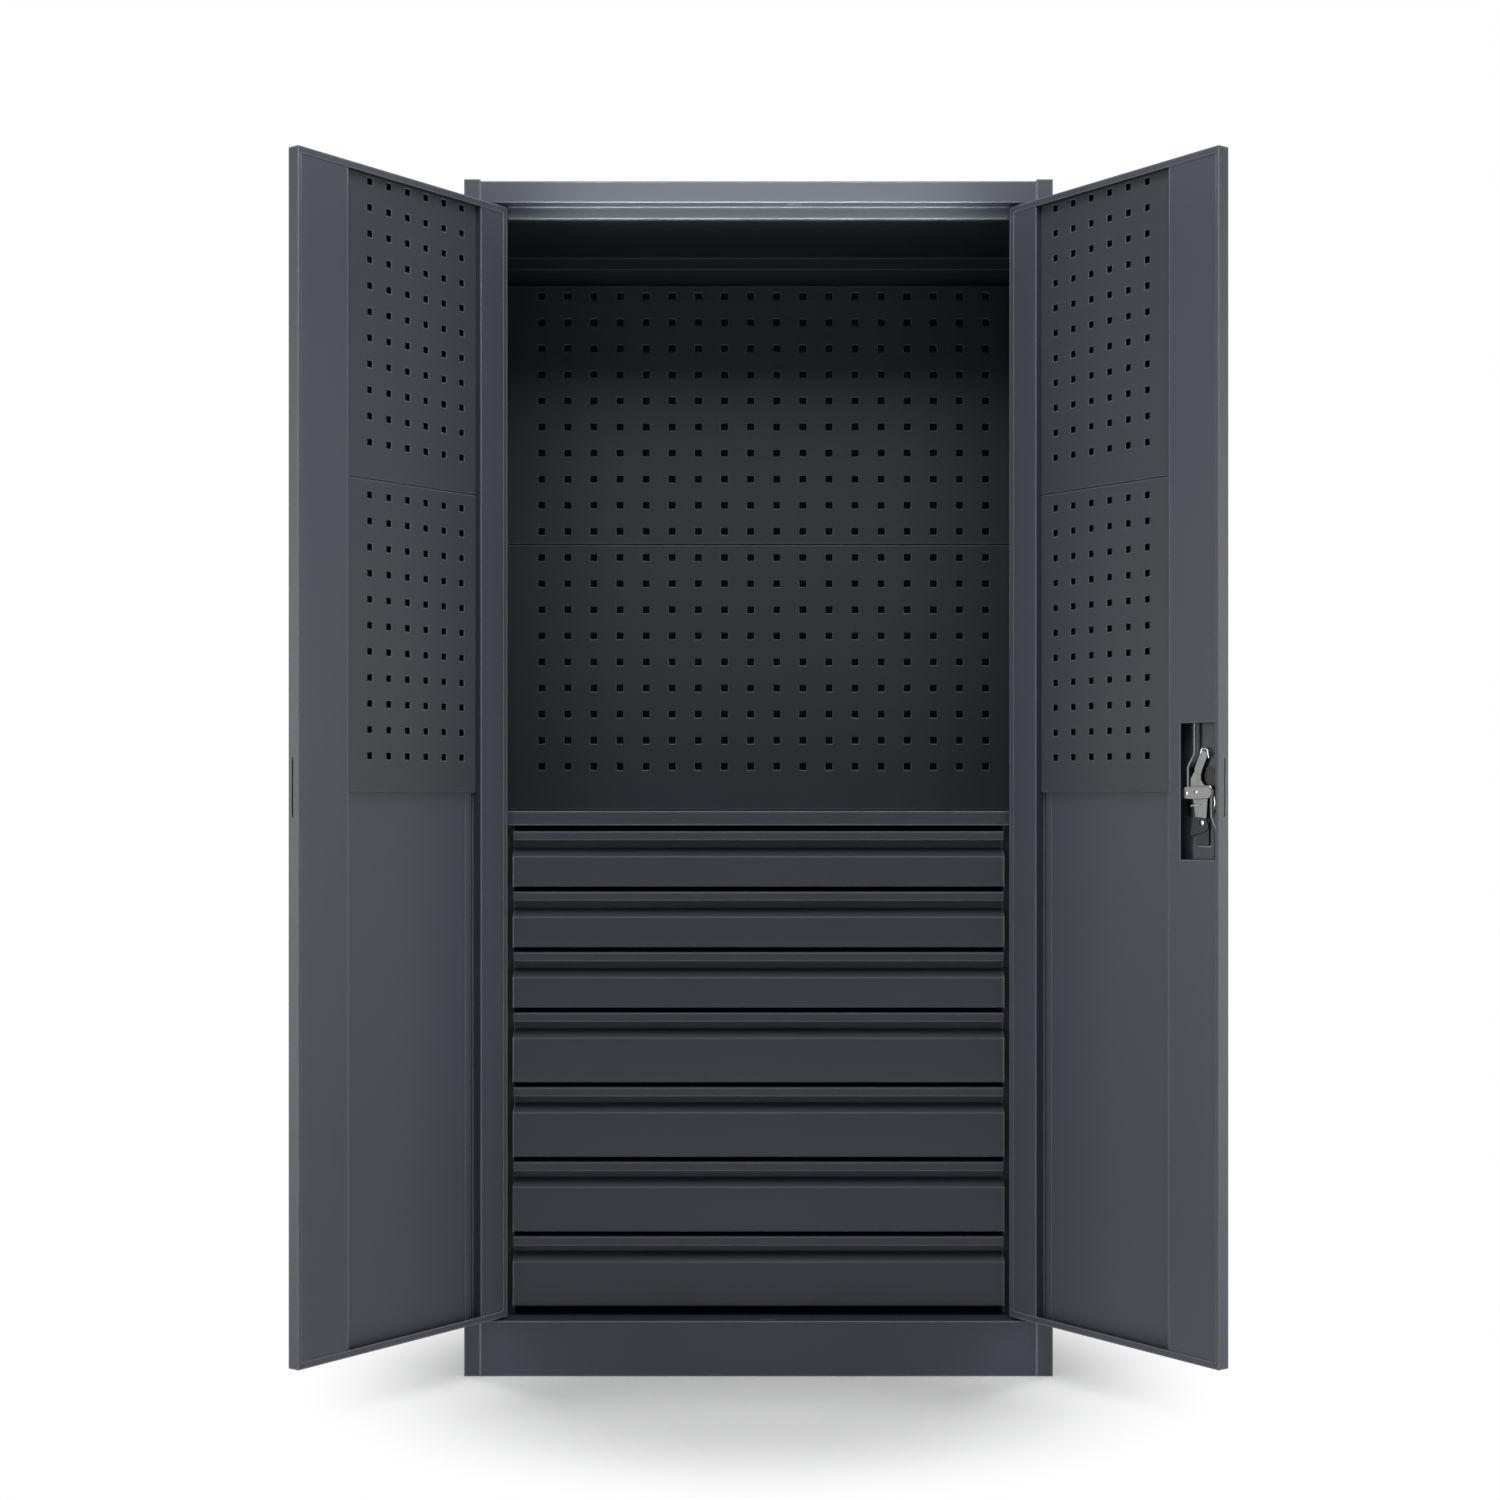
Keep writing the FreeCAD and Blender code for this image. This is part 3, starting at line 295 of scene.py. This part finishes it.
def drawer_front(index):
    """Pull front: flat face, bevel into the finger groove, turned-over lip, and a plate at each end."""
    low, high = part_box(f"drawer_{index}_front")
    face = low.y + SHEET / 2
    foot = low.z + SHEET / 2
    head = high.z - SHEET / 2
    groove = face + GROOVE
    corners = [(high.y, foot), (face, foot), (face, high.z - BEVEL_FOOT), (groove, high.z - BEVEL_TOP),
               (groove, head), (face, head), (face, high.z - LIP)]
    shape = bmesh.new()
    extruded(sheet_section(corners, BEND, SHEET), low.x + SHEET, high.x - SHEET, shape)
    inside = groove - SHEET / 2
    plate = rounded([(high.y, low.z), (low.y, low.z), (low.y, high.z - BEVEL_FOOT),
                     (inside, high.z - BEVEL_TOP), (inside, high.z), (high.y, high.z)], PLATE_CORNER)
    for x in (low.x, high.x - SHEET):
        extruded(plate, x, x + SHEET, shape)
    piece(f"drawer_{index}_folded_front", shape, coats["powder_coat"], f"drawer_{index}",
          "powder_coat", f"drawer_{index}_front")


for number in DRAWERS:
    drawer_front(number)


# Lock in the right door, in millimetres: along the door and up from the spindle,
# and the depth from the hinge axis. A pair of depths is a plate's outer and inner face.
HINGE_PIN = (0.410, 0.008, 0)
OPEN_ANGLE = math.radians(127)
HINGE = Matrix.Translation(HINGE_PIN) @ Matrix.Rotation(OPEN_ANGLE, 4, "Z")
SPINDLE_ALONG = 364
SPINDLE_HEIGHT = 900
SPINDLE = (0, 0)
KEY = (0, -42)
UPPER_PIN = (-22, 0)
LOWER_PIN = (22, 0)
WING = (-36.3, -26.3)
ESCUTCHEON = (-12, -8)
CASE_BODY = (-8, -4)
BACKING = (-7, -5.8)
BACKING_RIM = (-5.8, -4.4)
CASE_RIVET = (-5.8, -4.6)
KEY_SLOT = (-14.5, -14.2)
KEY_ARM = (-3.7, -2.3)
KEY_SCREW = (-2.3, -1.3)
CAM = (-1.0, 1.0)
ROD = (1.3, 3.8)
COVER = (4.0, 5.2)
OVAL = ((-33, 0), (-27, 8.5), (-8, 10), (19, 8.5), (27, 0), (19, -7.5), (-8, -9), (-27, -7.5))
OUTER_FACE = -12.3
UPPER_END = 911
LOWER_END = -812


def on_door(along, up, depth):
    """A place on the right door as it stands open."""
    return HINGE @ (Vector((-SPINDLE_ALONG - along, depth, SPINDLE_HEIGHT + up)) * MM)


def closed_outline(corners, radius):
    """A closed outline with every corner rounded."""
    start = (Vector(corners[-1]) + Vector(corners[0])) / 2
    return rounded([start, *corners, start], radius)[:-1]


def block(low, high, radius):
    """A rectangle between two corners, rounded."""
    return closed_outline([low, (high[0], low[1]), high, (low[0], high[1])], radius)


def chamfered(outline, low, high, edge, shape):
    """A plate with this outline whose rim is broken by a small chamfer at both faces."""
    middle = sum((Vector(point) for point in outline), Vector((0, 0))) / len(outline)
    inner = [Vector(point) + (middle - Vector(point)).normalized() * edge for point in outline]
    levels = ((inner, low), (outline, low + edge), (outline, high - edge), (inner, high))
    lofted([[(u, v, h) for u, v in ring] for ring, h in levels], shape, on_door)


def full_turn(sides):
    """Angles evenly round a circle."""
    return [2 * math.pi * i / sides for i in range(sides)]


def turned(profile, centre, shape, sides=28):
    """A round form about an axis through the door: (radius, depth) pairs."""
    lofted([[(centre[0] + radius * math.cos(a), centre[1] + radius * math.sin(a), depth)
             for a in full_turn(sides)] for radius, depth in profile], shape, on_door)


def bar(corners, shape, bend, half_width, depth, half_thick, sides=14):
    """A drawn bar of oval section bent along a path in the plane of the door."""
    line = rounded(corners, bend, steps=6)
    rings = []
    for i, point in enumerate(line):
        side = left_of(line, i) * half_width
        rings.append([(*(point + side * math.cos(a)), depth + half_thick * math.sin(a))
                      for a in full_turn(sides)])
    lofted(rings, shape, on_door)


def rivet(centre, low, high, radius, shape):
    """A domed rivet head."""
    rise = high - low
    turned([(radius, low), (radius, low + 0.3 * rise), (0.85 * radius, low + 0.7 * rise),
            (0.45 * radius, high - 0.05 * rise), (0.05 * radius, high)], centre, shape)


def lock_rod(name, corners, body, node):
    """Drawn rod with a flattened eye on the cam's rivet."""
    low, high = ROD
    eye = 6.0
    eye_rim = 5.4
    rim = 0.5
    shape = bmesh.new()
    bar(corners, shape, bend=9, half_width=3.1, depth=(low + high) / 2, half_thick=(high - low) / 2)
    turned([(eye_rim, low), (eye, low + rim), (eye, high - rim), (eye_rim, high)], corners[0], shape)
    piece(name, shape, rod_zinc, body, "lock_zinc", node)


def lock_lever():
    """Lever and tail in one pressing, with the oval cover plate that holds the rods' eyes on their pins."""
    low, high = CAM
    pin_radius = 2.5
    sunk = 0.2
    shape = bmesh.new()
    oval = closed_outline(OVAL, radius=4)
    chamfered(oval, low, high, edge=0.4, shape=shape)
    chamfered(oval, *COVER, edge=0.5, shape=shape)
    lever = closed_outline([(-20, 2), (-19.5, 20), (-12, 30), (0.5, 26), (1, 18), (9, 9), (8, -4)],
                           radius=2.2)
    chamfered(lever, low + 0.2, high - 0.3, edge=0.3, shape=shape)
    thumb = closed_outline([(-12, 28), (-11, 36), (1.5, 62), (14.5, 57), (3, 33), (0.5, 25)], radius=2.2)
    chamfered(thumb, low, high - 0.6, edge=0.3, shape=shape)
    tail = closed_outline([(-15, -3), (-12, -18), (-10, -34), (11, -36), (14, -4)], radius=2)
    chamfered(tail, low + 0.3, high - 0.4, edge=0.3, shape=shape)
    for pin in (UPPER_PIN, LOWER_PIN):
        turned([(pin_radius, high - sunk), (pin_radius, COVER[0] + sunk)], pin, shape)
    piece("lock_lever", shape, coats["lock_zinc"], "lock_turn", "lock_zinc", "lock_cam")


def lever_wire_and_rim_highlight():
    """Bright wire and rivets on the lever: a bright bar along the rim of its thumb end that is a painted
    highlight, the catch hook, the cross pin.
    """
    shape = bmesh.new()
    # A bright bar along the thumb's rim: a painted highlight of its lit edge.
    thumb_rim_highlight = [(0.5, 57), (3, 65), (13.5, 61), (15.5, 50)]
    bar(thumb_rim_highlight, shape, bend=3.2, half_width=1.5, depth=0.2, half_thick=1.1)
    hook = [(7, 9.5), (18, 9.5), (25, -5), (27, -14), (24, -21), (20, -27)]
    bar(hook, shape, bend=3, half_width=1.5, depth=0, half_thick=0.95)
    cross_pin = [(-18, -18), (1, -16.5)]
    bar(cross_pin, shape, bend=1, half_width=1.3, depth=1.0, half_thick=0.5)
    for place in (UPPER_PIN, (-4, 1.5)):
        rivet(place, COVER[1] - 0.1, COVER[1] + 0.7, radius=3, shape=shape)
    piece("lever_wire_and_rim_highlight", shape, bright_wire_and_rim_highlight, "lock_turn", "lock_zinc")


def lock_case():
    """Black casting: escutcheon outside, body through the skin and a thin backing plate inside."""
    shape = bmesh.new()
    chamfered(block((-15, -74), (15, 30), radius=6), *ESCUTCHEON, edge=0.9, shape=shape)
    chamfered(block((-12, -76), (12, 12), radius=2), *CASE_BODY, edge=0.4, shape=shape)
    extruded(block((-31, -33), (29, 37), radius=2), *BACKING, shape, on_door)
    extruded(block((-31, 34.5), (29, 36.5), radius=0.8), *BACKING_RIM, shape, on_door)
    for place in ((-25, 28), (23, -26), (23, 28)):
        rivet(place, *CASE_RIVET, radius=3, shape=shape)
    piece("lock_case", shape, coats["lock_black"], "right_door", "lock_black", "lock_housing")


def key_barrel():
    """Nickel key cylinder: slotted collar outside, barrel through the case and fixing screw inside."""
    barrel = 8.9
    shape = bmesh.new()
    turned([(9.6, -14.3), (10.6, -14.0), (11, -13.4), (11, OUTER_FACE)], KEY, shape)
    extruded(block((-1, -46.5), (1, -37.5), radius=0.6), *KEY_SLOT, shape, on_door)
    turned([(barrel, OUTER_FACE), (barrel, KEY_ARM[0])], KEY, shape)
    rivet(KEY, *KEY_SCREW, radius=4.6, shape=shape)
    piece("key_barrel", shape, coats["key_nickel"], "key", "key_nickel", "key_cylinder")


def key_arm():
    """Black cast arm on the inner end of the key cylinder."""
    shape = bmesh.new()
    arm = closed_outline([(-14, -34), (8, -33), (13, -50), (4, -56), (-9, -58), (-20, -62), (-22, -54)],
                         radius=2)
    chamfered(arm, *KEY_ARM, edge=0.4, shape=shape)
    piece("key_arm", shape, coats["lock_black"], "key", "lock_black")


def wing_handle():
    """Turn handle: waisted wing on a round hub, with the spindle through the door."""
    shaft = 6
    tip = 4
    shape = bmesh.new()
    wing = closed_outline([(-9, -42), (9, -42), (9, -21), (7, 0), (9, 21), (9, 42),
                           (-9, 42), (-9, 21), (-7, 0), (-9, -21)], radius=6)
    chamfered(wing, *WING, edge=2.2, shape=shape)
    turned([(9.2, -26.4), (10, -25.6), (10, -13.3), (9.2, OUTER_FACE)], SPINDLE, shape)
    turned([(shaft, OUTER_FACE), (shaft, CAM[0])], SPINDLE, shape)
    turned([(tip, CAM[0]), (tip, 3.4), (3.4, COVER[0])], SPINDLE, shape)
    piece("wing_handle", shape, coats["lock_black"], "lock_turn", "lock_black", "lock_handle")


lock_rod("upper_bar", [UPPER_PIN, (-22, 38), (-10, 56), (-10, UPPER_END)], "upper_rod", "upper_lock_rod")
lock_rod("lower_bar", [LOWER_PIN, (22, -34), (31, -52), (31, LOWER_END)], "lower_rod", "lower_lock_rod")
lock_lever()
lever_wire_and_rim_highlight()
lock_case()
key_barrel()
key_arm()
wing_handle()


# Floor, light and camera
WHITE = linear("#ffffff")
REFLECTED = 0.12
FILL = 0.03
FLOOR_SIZE = 24
FLOOR_MIDDLE = (0, 0.05, -0.5 * MM)
FLOOR_SPECKLE = 20 * MM
SHADOW_FADES = 0.34
SHADOW_GONE = 0.72


def seen_white(tree):
    """How much of the white surroundings a ray shows: all to the camera, a part of it in reflections."""
    path = add(tree, "ShaderNodeLightPath", {}, {})
    bounced = add(tree, "ShaderNodeMath", {"operation": "MAXIMUM"},
                  {0: path.outputs["Is Glossy Ray"], 1: path.outputs["Is Transmission Ray"]})
    share = add(tree, "ShaderNodeMath", {"operation": "MULTIPLY_ADD"},
                {0: bounced.outputs["Value"], 1: REFLECTED, 2: path.outputs["Is Camera Ray"]})
    return share.outputs["Value"]


def floor_material():
    """Matt white studio floor that takes the soft shadow; far off, the camera sees plain white."""
    material, tree, shader = new_material("studio_floor", Roughness=0.9)
    place = add(tree, "ShaderNodeTexCoord", {}, {}).outputs["Object"]
    speckle = add(tree, "ShaderNodeTexNoise", {}, {"Vector": place, "Scale": 1 / FLOOR_SPECKLE})
    tone = add(tree, "ShaderNodeMix", {"data_type": "RGBA"},
               {0: speckle.outputs["Fac"], 6: linear("#f2f2f2"), 7: linear("#f6f6f6")})
    tree.links.new(tone.outputs[2], shader.inputs["Base Color"])
    reach = add(tree, "ShaderNodeVectorMath", {"operation": "LENGTH"}, {0: place})
    far = add(tree, "ShaderNodeMapRange", {"interpolation_type": "SMOOTHSTEP"},
              {"Value": reach.outputs["Value"], "From Min": SHADOW_FADES, "From Max": SHADOW_GONE})
    share = add(tree, "ShaderNodeMath", {"operation": "MULTIPLY"},
                {0: far.outputs["Result"], 1: seen_white(tree)})
    white = add(tree, "ShaderNodeEmission", {}, {"Color": WHITE})
    blend = add(tree, "ShaderNodeMixShader", {},
                {0: share.outputs["Value"], 1: shader.outputs["BSDF"], 2: white.outputs["Emission"]})
    tree.links.new(blend.outputs["Shader"], tree.nodes["Material Output"].inputs["Surface"])
    return material


bpy.ops.mesh.primitive_grid_add(x_subdivisions=4, y_subdivisions=4, size=FLOOR_SIZE, location=FLOOR_MIDDLE)
floor = bpy.context.object
floor.name = "studio_floor"
floor.data.materials.append(floor_material())

world = bpy.data.worlds.new("studio")
bpy.context.scene.world = world
world.use_nodes = True
sky = world.node_tree
fill = sky.nodes["Background"]
fill.inputs["Color"].default_value = WHITE
fill.inputs["Strength"].default_value = FILL
plain = add(sky, "ShaderNodeBackground", {}, {"Color": WHITE, "Strength": 1.0})
either = add(sky, "ShaderNodeMixShader", {},
             {0: seen_white(sky), 1: fill.outputs["Background"], 2: plain.outputs["Background"]})
sky.links.new(either.outputs["Shader"], sky.nodes["World Output"].inputs["Surface"])


def soft_light(name, place, target, size, power, spread=180):
    """A rectangular lamp aimed at a point; metres, watts and degrees."""
    lamp = bpy.data.lights.new(name, "AREA")
    lamp.shape = "RECTANGLE"
    lamp.size, lamp.size_y = size
    lamp.energy = power
    lamp.spread = math.radians(spread)
    holder = bpy.data.objects.new(name, lamp)
    holder.location = place
    holder.rotation_euler = (Vector(target) - Vector(place)).to_track_quat("-Z", "Y").to_euler()
    holder.visible_camera = False
    bpy.context.collection.objects.link(holder)


for side, sign in (("left", -1), ("right", 1)):
    soft_light(f"{side}_side", place=(sign * 3.6, -1.5, 0.6), target=(-sign * 0.55, -0.15, 0.7),
               size=(1.4, 3.0), power=122)
    soft_light(f"rear_{side}", place=(sign * 3.6, 3.4, 2.2), target=(0, 0.4, 0.9),
               size=(1.6, 2.2), power=90)
soft_light("overhead", place=(0, -1.35, 2.9), target=(0, 0, 0.5), size=(2.0, 1.7), power=44)
soft_light("header", place=(0, -0.42, 1.42), target=(0, 0.02, 1.83), size=(0.66, 0.08), power=0.9, spread=24)

# The camera stands level in front of the cabinet; the shift is in pixels of a square frame.
FRAME_SIDE = 1500
SHIFT = (-8.5, 52.4)
lens = bpy.data.cameras.new("camera")
lens.sensor_width = 36
lens.lens = 55.2
lens.shift_x = SHIFT[0] / FRAME_SIDE
lens.shift_y = SHIFT[1] / FRAME_SIDE
camera = bpy.data.objects.new("camera", lens)
camera.location = (0, -3.555, 0.8868)
camera.rotation_euler = (math.radians(90), 0, 0)
bpy.context.collection.objects.link(camera)
bpy.context.scene.camera = camera
bpy.context.scene.view_settings.view_transform = "Standard"
